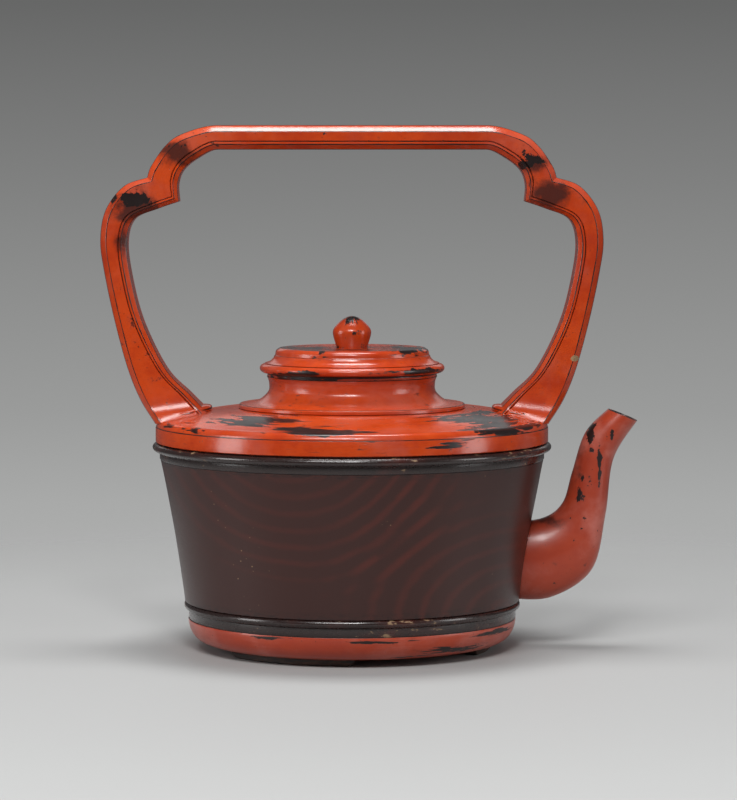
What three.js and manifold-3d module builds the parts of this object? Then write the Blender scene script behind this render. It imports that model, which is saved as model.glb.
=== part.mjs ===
// A lacquered wooden hot water ewer: turned base on three feet, hooped body, domed shoulder,
// lift-off lid, carved spout and a tall fixed handle. Millimetres, +Z up, spout towards +X.
import * as THREE from "three";
import { mergeVertices } from "three/addons/utils/BufferGeometryUtils.js";
import Module from "manifold-3d";

const wasm = await Module();
wasm.setup();

// Clearances and faceting
const GLUE_GAP = 0.3;
const LID_CLEARANCE = 0.6;
const ROUND_SIDES = 32;
const KNOB_SIDES = 16;

// Feet and base
const FOOT_COUNT = 3;
const FOOT_HEIGHT = 4.8;
const FOOT_OUTER_R = 89;
const FOOT_WIDTH = 13;
const FOOT_SPAN_DEG = 60;
const FOOT_FIRST_DEG = -148.5;
const FOOT_END_SLANT = 3;
const BASE_BOTTOM_R = 92.8;
const BASE_TOP_R = 105.3;
const BASE_BOWL_HEIGHT = 15.2;
const FLOOR_SPIGOT_HEIGHT = 10;

// Body wall and hoops
const WALL_THICKNESS = 5;
const WALL_HEIGHT = 113;
const WALL_BOTTOM_R = 107.7;
const WALL_MIDDLE_R = 114.6;
const WALL_TOP_R = 122.9;
const HOOP_REBATE = 3.9;
const LOWER_BAND_HEIGHT = 5.8;
const LOWER_BEAD_HEIGHT = 5.5;
const LOWER_BEAD_PROUD = 2.9;
const UPPER_BAND_HEIGHT = 5;
const UPPER_BEAD_HEIGHT = 6;
const UPPER_BEAD_PROUD = 4.6;

// Shoulder board
const SHOULDER_R = 125.8;
const SHOULDER_BAND_HEIGHT = 10;
const NOSING_WIDTH = 4.3;
const NOSING_HEIGHT = 4.4;
const DOME_HEIGHT = 7.1;
const BOARD_THICKNESS = 11;
const BOARD_SPIGOT_DEPTH = 6;
const BOARD_SPIGOT_WIDTH = 6;

// Neck collar
const FLANGE_R = 72.5;
const FLANGE_THICKNESS = 3;
const NECK_R = 53.1;
const NECK_HEIGHT = 20.5;
const NECK_LIP = 1.5;
const NECK_BORE_R = 44;
const NECK_SPIGOT_R = 50;
const NECK_SPIGOT_DEPTH = 7;

// Lid and knob
const LID_BAND_R = 54.4;
const LID_RIM_R = 59.2;
const LID_COVE_R = 49.9;
const LID_TOP_R = 46.7;
const LID_HEIGHT = 18;
const LID_BAND_SHARE = 0.11;
const LID_RIM_SHARE = 0.45;
const LID_COVE_SHARE = 0.7;
const LID_SPIGOT_DEPTH = 8;
const LID_SKIRT_THICKNESS = 6;
const LID_TOP_THICKNESS = 7;
const KNOB_R = 12.3;
const KNOB_BASE_R = 9.6;
const KNOB_HEIGHT = 20.4;
const KNOB_TENON_R = 4;

// The knob's outline above its neck, as shares of its radius and height
const KNOB_OUTLINE = [[1, 0.46], [0.93, 0.6], [0.58, 0.82], [0.24, 0.96], [0, 1]];

// Spout
const SPOUT_DEPTH = 30;
const SPOUT_SIDES = 16;
const SPOUT_STEPS = 14;
const SPOUT_FOOT_SHARE = 1.15;
const SPOUT_MOUTH_SHARE = 0.8;
const SPOUT_BORE_R = 7.6;
const SPOUT_SPIGOT_R = 12;
const SPOUT_SPIGOT_ROOT = 14;
const SPOUT_PORT_HEIGHT = 25;
const SPOUT_RISE = 123.5;
const SPOUT_REACH = 75.3;

// Handle
const HANDLE_HEIGHT = 335;
const HANDLE_OVERHANG = 34.5;
const HANDLE_HALF_WIDTH = SHOULDER_R + HANDLE_OVERHANG;
const HANDLE_BAR_THICKNESS = 15.4;
const HANDLE_BAR_HALF_LENGTH = 86;
const HANDLE_DEPTH = 30;
const HANDLE_CHAMFER = 2.6;
const HANDLE_FOOT_FLARE = 0.35;
const HANDLE_FLARE_RISE = 26;
const PAD_THICKNESS = 4;
const PAD_HALF_WIDTH = 24;
const PAD_LENGTH = 34;
const TENON_LENGTH = 14;
const TENON_WIDTH = 12;
const TENON_INSET = 26;

// Heights that follow from the sizes above
const BASE_TOP_Z = FOOT_HEIGHT + BASE_BOWL_HEIGHT;
const LOWER_HOOP_TOP_Z = BASE_TOP_Z + LOWER_BAND_HEIGHT + LOWER_BEAD_HEIGHT;
const WALL_TOP_Z = BASE_TOP_Z + WALL_HEIGHT;
const UPPER_HOOP_Z = WALL_TOP_Z - UPPER_BAND_HEIGHT - UPPER_BEAD_HEIGHT;
const WALL_MIDDLE_Z = (LOWER_HOOP_TOP_Z + UPPER_HOOP_Z) / 2;
const RIM_Z = WALL_TOP_Z + SHOULDER_BAND_HEIGHT;
const NOSING_Z = RIM_Z + NOSING_HEIGHT;
const DOME_TOP_Z = NOSING_Z + DOME_HEIGHT;
const NECK_TOP_Z = DOME_TOP_Z + NECK_HEIGHT;
const LID_TOP_Z = NECK_TOP_Z + LID_HEIGHT;
const PORT_Z = LOWER_HOOP_TOP_Z + SPOUT_PORT_HEIGHT;
const WALL_INNER_BOTTOM_R = WALL_BOTTOM_R - HOOP_REBATE - WALL_THICKNESS;
const WALL_INNER_TOP_R = WALL_TOP_R - HOOP_REBATE - WALL_THICKNESS;
const DOME_OUTER_R = SHOULDER_R - NOSING_WIDTH;

// Helpers that turn three.js geometry into solids and back

// Welds a geometry into one skin and drops triangles that collapsed to a line.
function weld(geometry) {
  const plain = geometry.clone();
  plain.deleteAttribute("normal");
  plain.deleteAttribute("uv");
  const merged = mergeVertices(plain, 1e-4);
  const index = Array.from(merged.index.array);
  const kept = [];
  for (let i = 0; i < index.length; i += 3) {
    const [a, b, c] = index.slice(i, i + 3);
    if (a !== b && b !== c && c !== a) kept.push(a, b, c);
  }
  merged.setIndex(kept);
  return merged;
}

function toSolid(geometry) {
  const skin = weld(geometry);
  const vertProperties = new Float32Array(skin.attributes.position.array);
  const triVerts = new Uint32Array(skin.index.array);
  return new wasm.Manifold(new wasm.Mesh({ numProp: 3, vertProperties, triVerts }));
}

function toGeometry(solid) {
  const mesh = solid.getMesh();
  const geometry = new THREE.BufferGeometry();
  const positions = new Float32Array(mesh.vertProperties);
  geometry.setAttribute("position", new THREE.BufferAttribute(positions, 3));
  geometry.setIndex(Array.from(mesh.triVerts));
  geometry.computeVertexNormals();
  return geometry;
}

// Turns a closed outline of [radius, height] points, outer side rising, about the Z axis.
function turned(outline, sides = ROUND_SIDES) {
  const points = outline.map(([r, z]) => new THREE.Vector2(r, z));
  if (outline[0][0] > 0) points.push(points[0].clone());
  return toSolid(new THREE.LatheGeometry(points, sides).rotateX(Math.PI / 2));
}

// A plate cut to an outline of [x, z] points, centred on the XZ plane.
function plate(outline, depth, bevel) {
  const shape = new THREE.Shape(outline.map(([x, z]) => new THREE.Vector2(x, z)));
  const geometry = new THREE.ExtrudeGeometry(shape, {
    depth: depth - 2 * bevel,
    bevelThickness: bevel,
    bevelSize: bevel,
    bevelOffset: -bevel,
    bevelSegments: 1,
  });
  return geometry.rotateX(Math.PI / 2).translate(0, depth / 2 - bevel, 0);
}

function block(sizeX, sizeY, sizeZ, x, y, z) {
  return toSolid(new THREE.BoxGeometry(sizeX, sizeY, sizeZ).translate(x, y, z));
}

// Points along a smooth curve through the given [x, z] points.
function smooth(points, count) {
  const curve = new THREE.SplineCurve(points.map(([x, z]) => new THREE.Vector2(x, z)));
  return curve.getPoints(count).map((p) => [p.x, p.y]);
}

// Half-round moulding from one height to another, standing proud of a radius.
function bead(radius, proud, z0, z1) {
  const points = [];
  for (let i = 1; i < 4; i += 1) {
    const turn = (Math.PI * i) / 4;
    const z = (z0 + z1) / 2 - ((z1 - z0) / 2) * Math.cos(turn);
    points.push([radius + proud * Math.sin(turn), z]);
  }
  return points;
}

// Outer face of the body wall, offset outwards, as a gently flaring curve.
function wallFace(offset) {
  const ends = [
    [WALL_BOTTOM_R + offset, LOWER_HOOP_TOP_Z + GLUE_GAP],
    [WALL_MIDDLE_R + offset, WALL_MIDDLE_Z],
    [WALL_TOP_R + offset, UPPER_HOOP_Z],
  ];
  return smooth(ends, 4);
}

// Domed top of the shoulder board, offset upwards, from the nosing in to the flange.
function domeFace(offset) {
  const points = [];
  for (let i = 0; i <= 3; i += 1) {
    const share = i / 3;
    const r = DOME_OUTER_R + (FLANGE_R - DOME_OUTER_R) * share;
    points.push([r, NOSING_Z + DOME_HEIGHT * Math.sin((share * Math.PI) / 2) + offset]);
  }
  return points;
}

// Everything up to a given height above the shoulder, used to trim what stands on it.
function shoulderTrim(offset) {
  return turned([
    [0, 0],
    [SHOULDER_R + HANDLE_DEPTH, 0],
    [SHOULDER_R + HANDLE_DEPTH, RIM_Z + offset],
    [SHOULDER_R + offset, RIM_Z + offset],
    ...domeFace(offset),
    [0, DOME_TOP_Z + offset],
  ]);
}

// Feet and base

function foot(index) {
  const start = THREE.MathUtils.degToRad(FOOT_FIRST_DEG + (index * 360) / FOOT_COUNT);
  const end = start + THREE.MathUtils.degToRad(FOOT_SPAN_DEG);
  const shape = new THREE.Shape();
  const slant = FOOT_END_SLANT / FOOT_OUTER_R;
  shape.absarc(0, 0, FOOT_OUTER_R, start, end, false);
  shape.absarc(0, 0, FOOT_OUTER_R - FOOT_WIDTH, end - slant, start + slant, true);
  return toSolid(new THREE.ExtrudeGeometry(shape, {
    depth: FOOT_HEIGHT,
    bevelEnabled: false,
    curveSegments: 8,
  }));
}

function base() {
  const bowl = [];
  for (let i = 0; i <= 4; i += 1) {
    const turn = (Math.PI / 2) * (i / 4);
    bowl.push([
      BASE_BOTTOM_R + (BASE_TOP_R - BASE_BOTTOM_R) * Math.sin(turn),
      FOOT_HEIGHT + BASE_BOWL_HEIGHT * (1 - Math.cos(turn)),
    ]);
  }
  const spigotR = WALL_INNER_BOTTOM_R - GLUE_GAP;
  return turned([
    [0, FOOT_HEIGHT],
    ...bowl,
    [spigotR, BASE_TOP_Z],
    [spigotR, BASE_TOP_Z + FLOOR_SPIGOT_HEIGHT],
    [0, BASE_TOP_Z + FLOOR_SPIGOT_HEIGHT],
  ]);
}

// Body wall and hoops

function bodyWall() {
  const lowerR = WALL_BOTTOM_R - HOOP_REBATE;
  const upperR = WALL_TOP_R - HOOP_REBATE;
  const wall = turned([
    [WALL_INNER_BOTTOM_R, BASE_TOP_Z],
    [lowerR, BASE_TOP_Z],
    [lowerR, LOWER_HOOP_TOP_Z + GLUE_GAP],
    ...wallFace(0),
    [upperR, UPPER_HOOP_Z],
    [upperR, WALL_TOP_Z],
    [WALL_INNER_TOP_R, WALL_TOP_Z],
    [WALL_INNER_TOP_R, WALL_TOP_Z - BOARD_SPIGOT_DEPTH - GLUE_GAP],
    [WALL_MIDDLE_R - WALL_THICKNESS, WALL_MIDDLE_Z],
  ]);
  return wall.subtract(spoutBarrel(SPOUT_SPIGOT_R + GLUE_GAP));
}

function lowerHoop() {
  const innerR = WALL_BOTTOM_R - HOOP_REBATE + GLUE_GAP;
  const bandR = WALL_BOTTOM_R - LOWER_BEAD_PROUD + GLUE_GAP;
  const bandTop = BASE_TOP_Z + LOWER_BAND_HEIGHT;
  return turned([
    [innerR, BASE_TOP_Z],
    [bandR, BASE_TOP_Z],
    [bandR, bandTop],
    ...bead(bandR, LOWER_BEAD_PROUD, bandTop, LOWER_HOOP_TOP_Z),
    [bandR, LOWER_HOOP_TOP_Z],
    [innerR, LOWER_HOOP_TOP_Z],
  ]);
}

function upperHoop() {
  const innerR = WALL_TOP_R - HOOP_REBATE + GLUE_GAP;
  const bandR = WALL_TOP_R + GLUE_GAP;
  const bottom = UPPER_HOOP_Z + GLUE_GAP;
  const bandTop = UPPER_HOOP_Z + UPPER_BAND_HEIGHT;
  return turned([
    [innerR, bottom],
    [bandR, bottom],
    [bandR, bandTop],
    ...bead(bandR, UPPER_BEAD_PROUD, bandTop, WALL_TOP_Z),
    [bandR, WALL_TOP_Z],
    [innerR, WALL_TOP_Z],
  ]);
}

// Shoulder board and neck collar

function shoulderBoard() {
  const spigotR = WALL_INNER_TOP_R - GLUE_GAP;
  const holeR = NECK_SPIGOT_R + GLUE_GAP;
  const board = turned([
    [holeR, DOME_TOP_Z - BOARD_THICKNESS],
    [spigotR - BOARD_SPIGOT_WIDTH, WALL_TOP_Z],
    [spigotR - BOARD_SPIGOT_WIDTH, WALL_TOP_Z - BOARD_SPIGOT_DEPTH],
    [spigotR, WALL_TOP_Z - BOARD_SPIGOT_DEPTH],
    [spigotR, WALL_TOP_Z],
    [SHOULDER_R, WALL_TOP_Z],
    [SHOULDER_R, RIM_Z],
    ...domeFace(0),
    [holeR, DOME_TOP_Z],
  ]);
  return board.subtract(tenon(1, GLUE_GAP)).subtract(tenon(-1, GLUE_GAP));
}

function neckCollar() {
  const flangeTop = DOME_TOP_Z + FLANGE_THICKNESS;
  const flare = smooth([
    [FLANGE_R - NECK_LIP, flangeTop],
    [(FLANGE_R + NECK_R) / 2 - NECK_LIP, flangeTop + NECK_LIP],
    [NECK_R, DOME_TOP_Z + NECK_HEIGHT / 2],
    [NECK_R + NECK_LIP, NECK_TOP_Z],
  ], 5);
  return turned([
    [NECK_BORE_R, DOME_TOP_Z - NECK_SPIGOT_DEPTH],
    [NECK_SPIGOT_R, DOME_TOP_Z - NECK_SPIGOT_DEPTH],
    [NECK_SPIGOT_R, DOME_TOP_Z],
    [FLANGE_R, DOME_TOP_Z],
    [FLANGE_R, flangeTop - NECK_LIP],
    ...flare,
    [NECK_BORE_R, NECK_TOP_Z],
  ]);
}

// Lid and knob

function lid() {
  const spigotR = NECK_BORE_R - LID_CLEARANCE;
  const hollowR = spigotR - LID_SKIRT_THICKNESS;
  const bandTop = NECK_TOP_Z + LID_HEIGHT * LID_BAND_SHARE;
  const rimTop = NECK_TOP_Z + LID_HEIGHT * LID_RIM_SHARE;
  const coveTop = NECK_TOP_Z + LID_HEIGHT * LID_COVE_SHARE;
  const rimR = LID_BAND_R + NECK_LIP;
  return turned([
    [KNOB_TENON_R + GLUE_GAP, LID_TOP_Z - LID_TOP_THICKNESS],
    [hollowR, LID_TOP_Z - LID_TOP_THICKNESS],
    [hollowR, NECK_TOP_Z - LID_SPIGOT_DEPTH],
    [spigotR, NECK_TOP_Z - LID_SPIGOT_DEPTH],
    [spigotR, NECK_TOP_Z],
    [LID_BAND_R, NECK_TOP_Z],
    [LID_BAND_R, bandTop],
    ...bead(rimR, LID_RIM_R - rimR, bandTop, rimTop),
    [rimR, rimTop],
    [LID_COVE_R + NECK_LIP, (rimTop + coveTop) / 2],
    [LID_COVE_R, coveTop],
    [LID_COVE_R - NECK_LIP / 2, LID_TOP_Z - NECK_LIP],
    [LID_TOP_R, LID_TOP_Z],
    [KNOB_TENON_R + GLUE_GAP, LID_TOP_Z],
  ]);
}

function knob() {
  return turned([
    [0, LID_TOP_Z - LID_TOP_THICKNESS],
    [KNOB_TENON_R, LID_TOP_Z - LID_TOP_THICKNESS],
    [KNOB_TENON_R, LID_TOP_Z],
    [KNOB_BASE_R, LID_TOP_Z],
    ...KNOB_OUTLINE.map(([r, h]) => [KNOB_R * r, LID_TOP_Z + KNOB_HEIGHT * h]),
  ], KNOB_SIDES);
}

// Spout

// A point of the spout's side view: reach out from the wall foot and rise above the hoop, as shares.
function spoutPoint(reachShare, riseShare) {
  const x = WALL_BOTTOM_R + SPOUT_REACH * reachShare;
  return [x, LOWER_HOOP_TOP_Z - 1 + SPOUT_RISE * riseShare];
}

function spoutBarrel(radius) {
  const length = WALL_THICKNESS + HOOP_REBATE + SPOUT_SPIGOT_ROOT;
  const barrel = new THREE.CylinderGeometry(radius, radius, length, 16).rotateZ(Math.PI / 2);
  const x = WALL_INNER_BOTTOM_R + length / 2 + 1;
  return toSolid(barrel.translate(x, 0, PORT_Z));
}

function spoutBore() {
  const inside = new THREE.Vector3(WALL_INNER_BOTTOM_R - WALL_THICKNESS, 0, PORT_Z);
  const points = [
    [0.22, 0.23],
    [0.47, 0.42],
    [0.59, 0.62],
    [0.67, 0.79],
    [0.875, 0.97],
    [0.93, 1.06],
  ];
  const path = points.map(([reach, rise]) => {
    const [x, z] = spoutPoint(reach, rise);
    return new THREE.Vector3(x, 0, z);
  });
  const section = new THREE.Shape().absarc(0, 0, SPOUT_BORE_R, 0, Math.PI * 2, false);
  return toSolid(new THREE.ExtrudeGeometry(section, {
    extrudePath: new THREE.CatmullRomCurve3([inside, ...path]),
    steps: 14,
    curveSegments: 4,
    bevelEnabled: false,
  }));
}

// A rounded, tapering body swept from the wall to the mouth between its back and front edges.
function spoutSweep() {
  const back = new THREE.SplineCurve([
    new THREE.Vector2(...spoutPoint(-0.2, 0.4)),
    new THREE.Vector2(...spoutPoint(0.2, 0.43)),
    new THREE.Vector2(...spoutPoint(0.37, 0.51)),
    new THREE.Vector2(...spoutPoint(0.45, 0.67)),
    new THREE.Vector2(...spoutPoint(0.56, 0.875)),
    new THREE.Vector2(...spoutPoint(0.755, 1)),
  ]);
  const front = new THREE.SplineCurve([
    new THREE.Vector2(...spoutPoint(-0.2, 0)),
    new THREE.Vector2(...spoutPoint(0.27, 0.015)),
    new THREE.Vector2(...spoutPoint(0.62, 0.16)),
    new THREE.Vector2(...spoutPoint(0.735, 0.45)),
    new THREE.Vector2(...spoutPoint(0.8, 0.74)),
    new THREE.Vector2(...spoutPoint(1, 0.94)),
  ]);
  const geometry = new THREE.CylinderGeometry(1, 1, 1, SPOUT_SIDES, SPOUT_STEPS);
  const position = geometry.attributes.position;
  for (let i = 0; i < position.count; i += 1) {
    const along = position.getY(i) + 0.5;
    const across = position.getX(i);
    const b = back.getPoint(along);
    const f = front.getPoint(along);
    const depthShare = SPOUT_FOOT_SHARE - (SPOUT_FOOT_SHARE - SPOUT_MOUTH_SHARE) * along;
    const halfDepth = (SPOUT_DEPTH / 2) * depthShare;
    const x = (b.x + f.x) / 2 + ((f.x - b.x) / 2) * across;
    const z = (b.y + f.y) / 2 + ((f.y - b.y) / 2) * across;
    position.setXYZ(i, x, -halfDepth * position.getZ(i), z);
  }
  return toSolid(geometry);
}

function spoutBody() {
  const hoopR = WALL_BOTTOM_R + 2 * GLUE_GAP;
  const vessel = turned([
    [0, 0],
    [hoopR, 0],
    [hoopR, LOWER_HOOP_TOP_Z + GLUE_GAP],
    ...wallFace(GLUE_GAP),
    [WALL_TOP_R + GLUE_GAP, DOME_TOP_Z],
    [0, DOME_TOP_Z],
  ]);
  const body = spoutSweep().subtract(vessel);
  return body.add(spoutBarrel(SPOUT_SPIGOT_R)).subtract(spoutBore());
}

// The spout is hollowed as two halves that are glued on the XZ plane.
function spoutHalf(side) {
  const reach = WALL_BOTTOM_R + SPOUT_REACH;
  const half = block(2 * reach, reach, 2 * reach, 0, side * (reach / 2 + GLUE_GAP / 2), 0);
  return spoutBody().intersect(half);
}

// Handle

// A point of the handle's front view, as shares of its half width and of its rise above the shoulder.
function handlePoint(widthShare, riseShare) {
  return [HANDLE_HALF_WIDTH * widthShare, RIM_Z + (HANDLE_HEIGHT - RIM_Z) * riseShare];
}

function handleOutline() {
  const upperLobe = smooth([
    [HANDLE_BAR_HALF_LENGTH, HANDLE_HEIGHT],
    handlePoint(0.672, 0.9719),
    handlePoint(0.74, 0.9318),
    handlePoint(0.796, 0.8651),
    handlePoint(0.812, 0.8255),
  ], 7);
  const outerLeg = smooth([
    handlePoint(0.812, 0.8255),
    handlePoint(0.905, 0.7984),
    handlePoint(0.978, 0.7188),
    handlePoint(1, 0.6188),
    handlePoint(0.984, 0.512),
    handlePoint(0.944, 0.3521),
    handlePoint(0.892, 0.1917),
    handlePoint(0.842, 0.0854),
    handlePoint(0.785, -0.0052),
  ], 14).slice(1);
  const innerLeg = smooth([
    handlePoint(0.575, 0.0583),
    handlePoint(0.647, 0.112),
    handlePoint(0.742, 0.1917),
    handlePoint(0.81, 0.2984),
    handlePoint(0.868, 0.4583),
    handlePoint(0.892, 0.5651),
    handlePoint(0.894, 0.6354),
    handlePoint(0.866, 0.6917),
    handlePoint(0.8, 0.725),
  ], 13);
  const innerLobe = smooth([
    handlePoint(0.69, 0.8125),
    handlePoint(0.67, 0.8521),
    handlePoint(0.612, 0.8917),
    [HANDLE_BAR_HALF_LENGTH, HANDLE_HEIGHT - HANDLE_BAR_THICKNESS],
  ], 5);
  const cusp = [handlePoint(0.705, 0.7318), handlePoint(0.688, 0.7474)];
  const foot = [handlePoint(0.785, -0.0417), handlePoint(0.575, -0.0417)];
  const right = [...upperLobe, ...outerLeg, ...foot, ...innerLeg, ...cusp, ...innerLobe];
  const left = right.map(([x, z]) => [-x, z]).reverse();
  return [...right, ...left];
}

// The whole handle as one bent bar, chamfered all round and flared in depth at its feet.
function handleBlank() {
  const geometry = plate(handleOutline(), HANDLE_DEPTH, HANDLE_CHAMFER);
  const position = geometry.attributes.position;
  for (let i = 0; i < position.count; i += 1) {
    const below = Math.max(0, NOSING_Z + HANDLE_FLARE_RISE - position.getZ(i));
    const share = Math.min(1, below / HANDLE_FLARE_RISE);
    position.setY(i, position.getY(i) * (1 + HANDLE_FOOT_FLARE * share * share));
  }
  return toSolid(geometry);
}

// A cutting block whose lower face runs along the seam between a corner and its leg.
function cornerRegion(side, shift) {
  const size = HANDLE_HALF_WIDTH;
  const [notchX, notchZ] = handlePoint(0.812, 0.8255);
  const [seamX, seamZ] = handlePoint(0.69, 0.7672);
  const slope = Math.atan2(notchZ - seamZ, notchX - seamX);
  const region = new THREE.BoxGeometry(2 * size, size, size);
  region.translate(0, 0, size / 2 + shift).rotateY(-slope).translate(notchX, 0, notchZ);
  if (side > 0) return toSolid(region);
  return toSolid(region.rotateZ(Math.PI));
}

// The straight grip between its two end seams, shortened or lengthened by a gap.
function barRegion(gap) {
  const length = 2 * HANDLE_BAR_HALF_LENGTH - 2 * gap;
  return block(length, HANDLE_HALF_WIDTH, HANDLE_HALF_WIDTH, 0, 0, HANDLE_HEIGHT);
}

function sideRegion(side) {
  const size = 2 * HANDLE_HALF_WIDTH;
  return block(size, size, 4 * size, (side * size) / 2, 0, 0);
}

function handleBar() {
  return handleBlank().intersect(barRegion(GLUE_GAP / 2));
}

function handleCorner(side) {
  const half = handleBlank().intersect(sideRegion(side));
  return half.subtract(barRegion(-GLUE_GAP / 2)).intersect(cornerRegion(side, GLUE_GAP / 2));
}

function tenon(side, gap) {
  const bottom = WALL_TOP_Z;
  const top = DOME_TOP_Z + PAD_THICKNESS;
  const x = side * (SHOULDER_R - TENON_INSET);
  const height = top - bottom;
  return block(TENON_LENGTH + 2 * gap, TENON_WIDTH + 2 * gap, height, x, 0, (top + bottom) / 2);
}

function handleLeg(side) {
  const half = handleBlank().intersect(sideRegion(side));
  const leg = half.subtract(cornerRegion(side, -GLUE_GAP / 2)).subtract(barRegion(-GLUE_GAP));
  return leg.subtract(shoulderTrim(PAD_THICKNESS + 2 * GLUE_GAP)).add(tenon(side, 0));
}

// A thin pad between the leg and the dome, drawn as a plan and cut to the dome's curve.
function handlePad(side) {
  const outer = SHOULDER_R - NOSING_WIDTH / 2;
  const inner = outer - PAD_LENGTH;
  const plan = new THREE.Shape([
    new THREE.Vector2(inner, -PAD_HALF_WIDTH / 2),
    new THREE.Vector2(inner + PAD_LENGTH / 3, -PAD_HALF_WIDTH * 0.9),
    new THREE.Vector2(outer, -PAD_HALF_WIDTH),
    new THREE.Vector2(outer, PAD_HALF_WIDTH),
    new THREE.Vector2(inner + PAD_LENGTH / 3, PAD_HALF_WIDTH * 0.9),
    new THREE.Vector2(inner, PAD_HALF_WIDTH / 2),
  ]);
  const prism = new THREE.ExtrudeGeometry(plan, { depth: NECK_TOP_Z, bevelEnabled: false });
  const turn = side > 0 ? 0 : Math.PI;
  const slab = toSolid(prism.rotateZ(turn)).intersect(shoulderTrim(GLUE_GAP + PAD_THICKNESS));
  return slab.subtract(shoulderTrim(GLUE_GAP)).subtract(tenon(side, GLUE_GAP));
}

// Finishes
const redLacquer = { color: 0x7a2418, roughness: 0.32, metalness: 0 };
const blackLacquer = { color: 0x1c1716, roughness: 0.3, metalness: 0 };
const clearWood = { color: 0x3a1a12, roughness: 0.28, metalness: 0 };
const wornWood = { color: 0x4a2a1c, roughness: 0.6, metalness: 0 };

// The assembly stands centred over the origin, so the axis of the turned pieces is off centre.
const ewer = new THREE.Group();
const [spoutTipX] = spoutPoint(1, 0.94);
ewer.position.x = (HANDLE_HALF_WIDTH - spoutTipX) / 2;

function addPiece(name, solid, finish) {
  const mesh = new THREE.Mesh(toGeometry(solid), new THREE.MeshStandardMaterial(finish));
  mesh.name = name;
  ewer.add(mesh);
}

for (let i = 0; i < FOOT_COUNT; i += 1) addPiece(`foot_${i + 1}`, foot(i), wornWood);
addPiece("base", base(), redLacquer);
addPiece("body_wall", bodyWall(), clearWood);
addPiece("lower_hoop", lowerHoop(), blackLacquer);
addPiece("upper_hoop", upperHoop(), blackLacquer);
addPiece("shoulder_board", shoulderBoard(), redLacquer);
addPiece("neck_collar", neckCollar(), redLacquer);
addPiece("spout_half_front", spoutHalf(-1), redLacquer);
addPiece("spout_half_back", spoutHalf(1), redLacquer);
addPiece("handle_top_bar", handleBar(), redLacquer);
for (const [side, word] of [[-1, "left"], [1, "right"]]) {
  addPiece(`handle_corner_${word}`, handleCorner(side), redLacquer);
  addPiece(`handle_leg_${word}`, handleLeg(side), redLacquer);
  addPiece(`handle_pad_${word}`, handlePad(side), redLacquer);
}
addPiece("lid", lid(), redLacquer);
addPiece("lid_knob", knob(), redLacquer);

export default ewer;
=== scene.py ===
# %% [markdown]
# # A red lacquered hot water ewer
# This lesson dresses the packed CAD model of a wooden ewer: a turned vessel with two hoops, a domed
# shoulder, a lift-off lid, a carved spout and a tall handle. The CAD model is loaded first and is
# never moved. The fine pieces could be modelled freely, but the round ones, the grip and the spout
# take their main sizes from the CAD nodes that they stand for. The lobes, legs, feet and pads have
# measures of their own in millimetres, matched to the photograph and to their nodes.

# %% Load the frame
import math
import random

import bmesh
import bpy
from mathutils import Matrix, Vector, noise


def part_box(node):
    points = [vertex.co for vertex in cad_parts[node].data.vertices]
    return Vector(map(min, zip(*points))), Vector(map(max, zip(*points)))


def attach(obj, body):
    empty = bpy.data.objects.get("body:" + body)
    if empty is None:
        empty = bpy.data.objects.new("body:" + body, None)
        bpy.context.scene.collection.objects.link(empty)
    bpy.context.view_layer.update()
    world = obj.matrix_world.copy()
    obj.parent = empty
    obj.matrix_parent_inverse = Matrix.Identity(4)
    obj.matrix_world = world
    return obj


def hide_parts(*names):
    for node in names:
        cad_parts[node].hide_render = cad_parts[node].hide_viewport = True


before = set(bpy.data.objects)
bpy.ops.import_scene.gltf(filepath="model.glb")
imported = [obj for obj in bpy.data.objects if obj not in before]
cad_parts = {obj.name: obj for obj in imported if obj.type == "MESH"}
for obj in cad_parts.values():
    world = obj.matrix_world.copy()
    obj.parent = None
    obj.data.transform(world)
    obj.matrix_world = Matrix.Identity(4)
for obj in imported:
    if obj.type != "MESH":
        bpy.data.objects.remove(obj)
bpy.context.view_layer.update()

MM = 0.001
AXIS_X = (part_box("base")[0].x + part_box("base")[1].x) / 2
print(len(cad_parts), "CAD nodes; the turned pieces have their axis at x =", round(AXIS_X, 5))

# %% [markdown]
# ## Camera
# The photograph seems to be taken with a long lens from the height of the upper lobes, so its horizon
# lies high in the picture. The camera could be moved by eye until it fits. Here three values place
# it: the scale at the axis, which was chosen for a likely real height, the pixel where the axis meets
# the floor, and the horizon. It looks down a little and doesn't shift its lens, so other views stay
# centred.

# %% Camera
PHOTO_LONG_SIDE = 800
PHOTO_CENTRE = (368.5, 400)
MM_PER_PIXEL = 0.64
AXIS_PIXEL = (352, 649)
HORIZON_PIXEL_Y = 160
CAMERA_DISTANCE = 2.2
SENSOR_WIDTH = 36


def photo_point(x, y):
    """The point of the plane through the axis that the photograph shows at a pixel, in metres."""
    along = (x - AXIS_PIXEL[0]) * MM_PER_PIXEL * MM
    return Vector((AXIS_X + along, 0, (AXIS_PIXEL[1] - y) * MM_PER_PIXEL * MM))


def make_camera():
    data = bpy.data.cameras.new("camera")
    camera = bpy.data.objects.new("camera", data)
    bpy.context.scene.collection.objects.link(camera)
    target = photo_point(*PHOTO_CENTRE)
    horizon = photo_point(PHOTO_CENTRE[0], HORIZON_PIXEL_Y)
    camera.location = Vector((target.x, -CAMERA_DISTANCE, horizon.z))
    camera.rotation_euler = (target - camera.location).to_track_quat("-Z", "Y").to_euler()
    data.sensor_width = SENSOR_WIDTH
    data.lens = CAMERA_DISTANCE / (MM_PER_PIXEL * MM) * SENSOR_WIDTH / PHOTO_LONG_SIDE
    bpy.context.scene.camera = camera
    return camera


camera = make_camera()
bpy.context.scene.view_settings.view_transform = "Standard"
print("camera at", tuple(round(v, 3) for v in camera.location), "lens", round(camera.data.lens, 1))

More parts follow.
